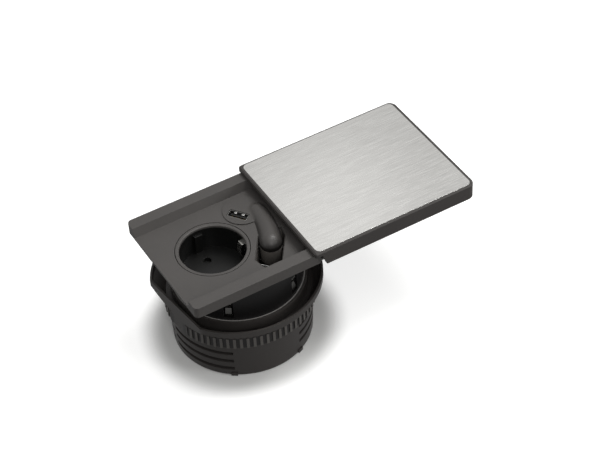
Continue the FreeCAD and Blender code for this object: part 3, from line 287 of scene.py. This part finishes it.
def brushedAluminium(look):
    made, tree, shader, place = newMaterial("brushed_aluminium_lid", {"Metallic": 1.0})
    noises = []
    for (longMm, wideMm), grain in ((look["strokeMm"], {"Scale": 1.0, "Detail": 5.0, "Roughness": 0.65}),
                                    (look["bandMm"], {"Scale": 1.0, "Detail": 3.0})):
        perMetre = (1.0 / (longMm * mm), 1.0 / (wideMm * mm), 1.0 / (longMm * mm))
        stretched = addNode(tree, "ShaderNodeMapping", {"Scale": perMetre}, {"Vector": place})
        noises.append(addNode(tree, "ShaderNodeTexNoise", grain, {"Vector": stretched.outputs["Vector"]}))
    strokes, bands = noises
    bandPart = addNode(tree, "ShaderNodeMath", {"operation": "MULTIPLY", 1: 1.0 - look["strokeShare"]},
                       {0: bands.outputs["Fac"]})
    both = addNode(tree, "ShaderNodeMath", {"operation": "MULTIPLY_ADD", 1: look["strokeShare"]},
                   {0: strokes.outputs["Fac"], 2: bandPart.outputs[0]})
    colour = addNode(tree, "ShaderNodeMix",
                     {"data_type": "RGBA", mixFirst: toLinear(look["dark"]),
                      mixSecond: toLinear(look["light"])},
                     {mixFactor: both.outputs[0]})
    tree.links.new(colour.outputs[mixResult], shader.inputs["Base Color"])
    smoothest, roughest = look["roughness"]
    rough = addNode(tree, "ShaderNodeMapRange", {"To Min": smoothest, "To Max": roughest},
                    {"Value": both.outputs[0]})
    tree.links.new(rough.outputs["Result"], shader.inputs["Roughness"])
    bump = addNode(tree, "ShaderNodeBump", {"Strength": look["bump"], "Distance": look["bumpMm"] * mm},
                   {"Height": strokes.outputs["Fac"]})
    tree.links.new(bump.outputs["Normal"], shader.inputs["Normal"])
    return made


aluminium = brushedAluminium(brushing)
print("materials made")

# how the meshes are cleaned and rounded
meshCare = {"weldMm": 0.002, "flatDeg": 0.8, "sharpDeg": 32.0, "edgeSteps": 2, "faceWeight": 80}


def deselectAll():
    if bpy.context.mode != "OBJECT":
        bpy.ops.object.mode_set(mode="OBJECT")
    bpy.ops.object.select_all(action="DESELECT")


def makeActive(piece):
    deselectAll()
    piece.select_set(True)
    bpy.context.view_layer.objects.active = piece


def applyModifier(piece, kind, settings):
    makeActive(piece)
    modifier = piece.modifiers.new(kind.lower(), kind)
    for name, setting in settings.items():
        setattr(modifier, name, setting)
    bpy.ops.object.modifier_apply(modifier=modifier.name)


def roundEdges(piece, widthMm):
    applyModifier(piece, "BEVEL", {"width": widthMm * mm, "segments": meshCare["edgeSteps"],
                                   "limit_method": "ANGLE", "angle_limit": math.radians(meshCare["sharpDeg"]),
                                   "use_clamp_overlap": True, "miter_outer": "MITER_ARC",
                                   "harden_normals": False})


def smooth(piece):
    makeActive(piece)
    bpy.ops.object.shade_smooth_by_angle(angle=math.radians(meshCare["sharpDeg"]))
    # broad faces keep their own direction, so only the rounded edges shade
    applyModifier(piece, "WEIGHTED_NORMAL", {"keep_sharp": True, "weight": meshCare["faceWeight"]})


def copyNode(name, pieceName, roundMm):
    source = nodes[name]
    piece = bpy.data.objects.new(pieceName, source.data.copy())
    bpy.context.scene.collection.objects.link(piece)
    makeActive(piece)
    bpy.ops.object.mode_set(mode="EDIT")
    bpy.ops.mesh.select_all(action="SELECT")
    bpy.ops.mesh.remove_doubles(threshold=meshCare["weldMm"] * mm)
    bpy.ops.mesh.dissolve_limited(angle_limit=math.radians(meshCare["flatDeg"]), delimit={"NORMAL"})
    bpy.ops.object.mode_set(mode="OBJECT")
    if roundMm:
        roundEdges(piece, roundMm)
    smooth(piece)
    return piece


# a copy with its own mesh, moved inside that mesh
def copyPiece(piece, move):
    copied = bpy.data.objects.new(piece.name, piece.data.copy())
    bpy.context.scene.collection.objects.link(copied)
    copied.data.transform(move)
    return copied


def finish(piece, finishMaterial, body, slot, *replaced):
    piece.data.materials.clear()
    piece.data.materials.append(finishMaterial)
    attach(piece, body)
    if replaced:
        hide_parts(*replaced)


# mouldings and strips with their edges rounded: piece, rounding in mm, finish, body, slot
bevels = {
    "upper_housing": ("tray_and_neck", 0.35, housingAbs, "housing", "tray_plastic"),
    "outlet_chute": ("chute", 0.2, pocketAbs, "housing", "tray_plastic"),
    "outlet_flap": ("flap", 0.2, pocketAbs, "flap", "tray_plastic"),
    "socket_bezel": ("bezel", 0.2, trayAbs, "housing", "tray_plastic"),
    "socket_well": ("well", 0.25, blackPolyamide, "housing", "black_plastic"),
    "lid_frame": ("lid_surround", 0.3, lidAbs, "lid", "lid_plastic"),
    "lid_plate": ("lid_sheet", 0.04, aluminium, "lid", "lid_aluminium"),
    "clamping_ring": ("ring", 0.25, ringAbs, "ring", "ring_plastic"),
    "pot": ("pot_shell", 0.25, potAbs, "pot", "pot_plastic"),
    "usb_shell": ("port_shell", 0.08, satinSteel, "housing", "port_steel"),
}
for step in (1, 2, 3, 4):
    bevels["detent_spring_%d" % step] = ("detent_strip_%d" % step, 0.3, bluedSteel, "housing",
                                         "spring_steel")
for side in ("left", "right"):
    bevels["earth_clip_" + side] = ("earth_spring_" + side, 0.25, springSteel, "housing", "spring_steel")
for node, (pieceName, roundMm, finishMaterial, body, slot) in bevels.items():
    finish(copyNode(node, pieceName, roundMm), finishMaterial, body, slot, node)
    print("refined", node)

# where the charging port stands on the tray, and how it is turned
port = {"centre": (11.6, 16.7), "turnDeg": -54.4}

# the hood flows out of the pad round the port, so its joints are melted together
hoodForm = {
    "voxelMm": 0.3, "rounds": 70, "lastRounds": 2, "pull": 0.5,
    "portHalf": (6.9, 3.4), "portFadeMm": 0.8,            # stays crisp round the port
    "pad": (16.0, 19.0), "padMm": 11.7, "rimMm": 2.5,     # stays crisp on the pad's rim
    "seamMm": 0.9, "seamFadeMm": 1.2,                     # stays crisp at the seam to the visor
}


def makeHood(form):
    piece = copyNode("outlet_hood", "hood", 0)
    makeActive(piece)
    piece.data.remesh_voxel_size = form["voxelMm"] * mm
    bpy.ops.object.voxel_remesh()
    bpy.ops.mesh.customdata_custom_splitnormals_clear()
    centre, pad = Vector(port["centre"]), Vector(form["pad"])
    unturn = Matrix.Rotation(-math.radians(port["turnDeg"]), 2)
    melted = piece.vertex_groups.new(name="melted")
    for point in piece.data.vertices:
        flat = Vector((point.co.x, point.co.y)) / mm
        across = unturn @ (flat - centre)
        outside = max(abs(across.x) - form["portHalf"][0], abs(across.y) - form["portHalf"][1])
        clear = min(1.0, max(0.0, outside / form["portFadeMm"]))
        onRim = point.co.z < form["rimMm"] * mm and (flat - pad).length > form["padMm"]
        aboveSeam = min(1.0, max(0.0, (point.co.z / mm - form["seamMm"]) / form["seamFadeMm"]))
        if clear > 0.0 and not onRim and aboveSeam > 0.0:
            melted.add([point.index], clear * aboveSeam, "REPLACE")
    applyModifier(piece, "SMOOTH", {"factor": form["pull"], "iterations": form["rounds"],
                                    "vertex_group": "melted"})
    applyModifier(piece, "SMOOTH", {"factor": form["pull"], "iterations": form["lastRounds"]})
    bpy.ops.object.shade_smooth()
    finish(piece, hoodAbs, "housing", "tray_plastic", "outlet_hood")


makeHood(hoodForm)
print("hood made")

# bright crests of the two leaf springs in the port's mouth, which the solids leave out
portSprings = {"along": (-2.7, 2.3), "across": 2.05, "topMm": 0.9, "radiusMm": 0.6, "wideMm": 1.7,
               "roundMm": 0.12, "sides": 24}


def makePortSprings(form):
    turn = math.radians(port["turnDeg"])
    alongPort = Vector((math.cos(turn), math.sin(turn), 0.0))
    acrossPort = Vector((-math.sin(turn), math.cos(turn), 0.0))
    places = [Vector((*port["centre"], form["topMm"])) + alongPort * along + acrossPort * form["across"]
              for along in form["along"]]
    deselectAll()
    bpy.ops.mesh.primitive_cylinder_add(vertices=form["sides"], radius=form["radiusMm"] * mm,
                                        depth=form["wideMm"] * mm, location=places[0] * mm,
                                        rotation=(0, math.radians(90), turn))
    piece = bpy.context.object
    bpy.ops.object.transform_apply(location=True, rotation=True, scale=True)
    roundEdges(piece, form["roundMm"])
    second = copyPiece(piece, Matrix.Translation((places[1] - places[0]) * mm))
    makeActive(piece)
    second.select_set(True)
    bpy.ops.object.join()
    piece.name = "port_springs"
    smooth(piece)
    finish(piece, nickelledSteel, "housing", "port_steel")


makePortSprings(portSprings)
print("port springs made")

# cross recesses in the screw heads that show from below
drivenScrews = {
    "cover_screws": {"piece": "cover_screw_set", "body": "pot", "headMm": -69.9, "turnDeg": -6.0,
                     "places": ((38.389, -4.035), (4.035, 38.389), (-38.389, 4.035), (-4.035, -38.389))},
    "shoe_screws": {"piece": "shoe_screw_set", "body": "housing", "headMm": 0.1, "turnDeg": 20.0,
                    "places": ((38.6, -30.6), (44.4, -30.6), (38.6, 30.6), (44.4, 30.6))},
}
crossForm = {"longMm": 2.4, "wideMm": 0.55, "deepMm": 0.7, "roundMm": 0.07}


# one bar of the cross, which reaches as far out of the head as into it, so that the cut is open
def makeCutter(cross):
    deselectAll()
    bpy.ops.mesh.primitive_cube_add(size=1.0, location=(0, 0, 0))
    cutter = bpy.context.object
    cutter.scale = (cross["longMm"] * mm, cross["wideMm"] * mm, 2 * cross["deepMm"] * mm)
    bpy.ops.object.transform_apply(location=True, rotation=True, scale=True)
    return cutter


def makeDrivenScrews(node, form, cross):
    piece = copyNode(node, form["piece"], 0)
    cutter = makeCutter(cross)
    for x, y in form["places"]:
        for quarter in (0, 90):
            turn = Matrix.Rotation(math.radians(form["turnDeg"] + quarter), 4, "Z")
            bar = copyPiece(cutter, Matrix.Translation((x * mm, y * mm, form["headMm"] * mm)) @ turn)
            applyModifier(piece, "BOOLEAN", {"operation": "DIFFERENCE", "object": bar, "solver": "EXACT"})
            bpy.data.objects.remove(bar, do_unlink=True)
    bpy.data.objects.remove(cutter, do_unlink=True)
    roundEdges(piece, cross["roundMm"])
    smooth(piece)
    finish(piece, zincSteel, form["body"], "screw_steel", node)


for node, form in drivenScrews.items():
    makeDrivenScrews(node, form, crossForm)
    print("driven", node)

# nodes that keep their own mesh and take a finish
carried = {
    "bottom_cover": potAbs, "cord_clamp": blackPolyamide, "terminal_block": blackPolyamide,
    "guide_shoe_front": blackPolyamide, "guide_shoe_back": blackPolyamide,
    "lid_rail_front": blackPolyamide, "lid_rail_back": blackPolyamide, "socket_base": blackPolyamide,
    "contact_shutter": blackPolyamide, "line_contact_front": contactBrass, "line_contact_back": contactBrass,
    "usb_tongue": blackPolyamide, "usb_contacts": goldFlash, "usb_circuit_board": circuitBoard,
    "usb_converter": blackPolyamide, "flap_pins": phosphatedSteel,
    "socket_screws": zincSteel, "terminal_screws": zincSteel, "clamp_screws": zincSteel,
}
for node, finishMaterial in carried.items():
    for slotHolder in nodes[node].material_slots:
        slotHolder.material = finishMaterial
    if not nodes[node].material_slots:
        nodes[node].data.materials.append(finishMaterial)
print("carried nodes finished")

# the floor glows a little for the camera, and stops glowing close to the pot's axis, which
# paints a soft shadow round the foot besides the lamps' own shadows
stage = {"floorZ": -70.3, "size": 12.0, "tone": "e0e0de", "shade": "707070", "glow": 0.6, "mirrorGlow": 0.18,
         "nearMm": 48.0, "farMm": 68.0}
white = (1, 1, 1, 1)


def addFloor(setup):
    deselectAll()
    bpy.ops.mesh.primitive_plane_add(size=setup["size"], location=(0, 0, setup["floorZ"] * mm))
    floor = bpy.context.object
    floor.name = "floor"
    made = bpy.data.materials.new("pale_floor")
    made.use_nodes = True
    tree = made.node_tree
    tree.nodes.clear()
    seen = addNode(tree, "ShaderNodeLightPath")
    tone = addNode(tree, "ShaderNodeMix",
                   {"data_type": "RGBA", mixFirst: toLinear(setup["shade"]),
                    mixSecond: toLinear(setup["tone"])},
                   {mixFactor: seen.outputs["Is Camera Ray"]})
    paint = addNode(tree, "ShaderNodeBsdfDiffuse", links={"Color": tone.outputs[mixResult]})
    mirrored = addNode(tree, "ShaderNodeMath", {"operation": "MULTIPLY", 1: setup["mirrorGlow"]},
                       {0: seen.outputs["Is Glossy Ray"]})
    where = addNode(tree, "ShaderNodeTexCoord")
    out = addNode(tree, "ShaderNodeVectorMath", {"operation": "LENGTH"}, {0: where.outputs["Object"]})
    clearing = addNode(tree, "ShaderNodeMapRange",
                       {"interpolation_type": "SMOOTHSTEP", "From Min": setup["nearMm"] * mm,
                        "From Max": setup["farMm"] * mm}, {"Value": out.outputs["Value"]})
    own = addNode(tree, "ShaderNodeMath", {"operation": "MULTIPLY", 1: setup["glow"]},
                  {0: clearing.outputs["Result"]})
    strength = addNode(tree, "ShaderNodeMath", {"operation": "MULTIPLY_ADD"},
                       {0: seen.outputs["Is Camera Ray"], 1: own.outputs[0], 2: mirrored.outputs[0]})
    glow = addNode(tree, "ShaderNodeEmission", {"Color": white}, {"Strength": strength.outputs[0]})
    total = addNode(tree, "ShaderNodeAddShader", links={0: paint.outputs[0], 1: glow.outputs[0]})
    addNode(tree, "ShaderNodeOutputMaterial", links={"Surface": total.outputs[0]})
    floor.data.materials.append(made)


# how bright the room is for plain light, for mirrored light and for the camera
room = {"plain": 0.2, "mirrored": 0.7, "seen": 1.0}


def addWorld(setup):
    world = bpy.data.worlds.new("studio")
    bpy.context.scene.world = world
    world.use_nodes = True
    tree = world.node_tree
    tree.nodes.clear()
    plain, mirrored, seen = (
        addNode(tree, "ShaderNodeBackground", {"Color": white, "Strength": setup[share]}).outputs[0]
        for share in ("plain", "mirrored", "seen"))
    ray = addNode(tree, "ShaderNodeLightPath")
    glossy = addNode(tree, "ShaderNodeMixShader",
                     links={0: ray.outputs["Is Glossy Ray"], 1: plain, 2: mirrored})
    both = addNode(tree, "ShaderNodeMixShader",
                   links={0: ray.outputs["Is Camera Ray"], 1: glossy.outputs[0], 2: seen})
    addNode(tree, "ShaderNodeOutputWorld", links={"Surface": both.outputs[0]})


# place, aim and size in metres
lamps = {
    "key_softbox": {"place": (0.62, 0.05, 1.25), "aim": (0.03, 0.0, -0.03), "size": 0.7, "watts": 10.0},
    "top_softbox": {"place": (0.05, -0.25, 1.38), "aim": (0.03, 0.0, -0.03), "size": 2.2, "watts": 9.0},
    "front_softbox": {"place": (-0.35, -1.0, 0.75), "aim": (0.0, 0.0, -0.03), "size": 0.35, "watts": 3.0},
    "edge_softbox": {"place": (-1.0, 0.1, 0.12), "aim": (-0.05, 0.0, 0.0), "size": 0.25, "watts": 0.5},
    "right_softbox": {"place": (0.8, -0.85, 0.3), "aim": (0.0, 0.0, -0.04), "size": 0.35, "watts": 4.5},
    "plate_softbox": {"place": (0.181, 0.213, 0.284), "aim": (0.035, -0.04, 0.011), "size": 0.14,
                      "watts": 0.018},
}


def addLamp(name, setup):
    data = bpy.data.lights.new(name, "AREA")
    data.shape = "DISK"
    data.size = setup["size"]
    data.energy = setup["watts"]
    lamp = bpy.data.objects.new(name, data)
    lamp.visible_camera = False
    bpy.context.scene.collection.objects.link(lamp)
    place, aim = Vector(setup["place"]), Vector(setup["aim"])
    facing = (aim - place).to_track_quat("-Z", "Y").to_matrix().to_4x4()
    lamp.matrix_world = Matrix.Translation(place) @ facing


addFloor(stage)
addWorld(room)
for lampName, lampSetup in lamps.items():
    addLamp(lampName, lampSetup)
bpy.context.scene.view_settings.view_transform = "Standard"
print("stage and light set")
